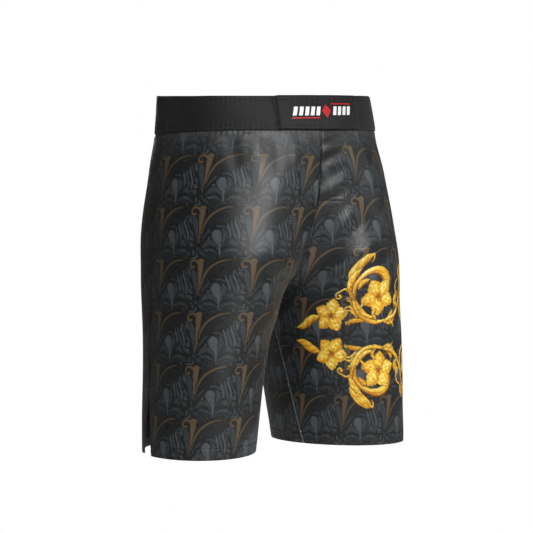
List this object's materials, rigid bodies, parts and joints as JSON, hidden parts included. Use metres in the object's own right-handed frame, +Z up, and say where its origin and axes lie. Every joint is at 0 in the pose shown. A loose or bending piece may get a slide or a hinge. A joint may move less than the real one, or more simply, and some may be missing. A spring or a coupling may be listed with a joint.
{
  "type": "grappling shorts",
  "caption": "Thigh-length fight shorts with an overlapping hook-and-loop waist flap, hook-and-loop fly, inner-thigh stretch panels and side slits.",
  "frame": {"origin": "centre of the waist opening, level with the waistband's top edge at the wearer's sides", "axes": "+Z up along the wearer's body, -Y to the wearer's front, +X to the wearer's left"},
  "size_m": [0.3718, 0.2654, 0.4611],
  "materials": {
    "band_cloth": "matte black woven polyester",
    "printed_cloth": "charcoal foliage print on woven microfibre",
    "lining_cloth": "matte dark lining",
    "elastic": "ribbed elastic webbing",
    "hook_tape": "hook tape, bristly",
    "loop_tape": "loop tape, brushed",
    "emblem": "heat-pressed transfer, satin",
    "thread": "dense bar stitching",
    "label": "woven satin label, blank",
    "eyelet_metal": "black nickel eyelet"
  },
  "bodies": {
    "shorts": {"front_panel_right": "printed_cloth", "front_panel_left": "printed_cloth", "back_panel_right": "printed_cloth", "back_panel_left": "printed_cloth", "inner_thigh_panel_right": "printed_cloth", "inner_thigh_panel_left": "printed_cloth", "slit_bartack_right": "thread", "slit_bartack_left": "thread", "fly_bartack": "thread", "waistband": "band_cloth", "waistband_lining": "lining_cloth", "waist_elastic": "elastic", "band_loop_tape": "loop_tape", "fly_loop_tape": "loop_tape", "fly_shield": "printed_cloth", "fly_facing": "printed_cloth", "inside_label": "label", "drawcord_eyelet_left": "eyelet_metal"},
    "fly_opening": {"fly_flap": "printed_cloth", "band_end": "band_cloth", "band_end_lining": "lining_cloth", "flap_root": "band_cloth", "fly_hook_tape": "hook_tape", "drawcord_eyelet_right": "eyelet_metal"},
    "waist_flap": {"waist_flap": "band_cloth", "flap_hook_tape": "hook_tape", "flap_emblem": "emblem"}
  },
  "joints": [
    {"name": "fly_fold", "type": "hinge", "parent": "shorts", "child": "fly_opening", "pos_m": [-0.07, -0.11588, -0.016], "axis": [0, -0.1369, -0.9906], "range_deg": [0, 45]},
    {"name": "flap_fold", "type": "hinge", "parent": "fly_opening", "child": "waist_flap", "pos_m": [-0.057, -0.11488, -0.016], "axis": [0, -0.2372, -0.9714], "range_deg": [0, 150]}
  ]
}
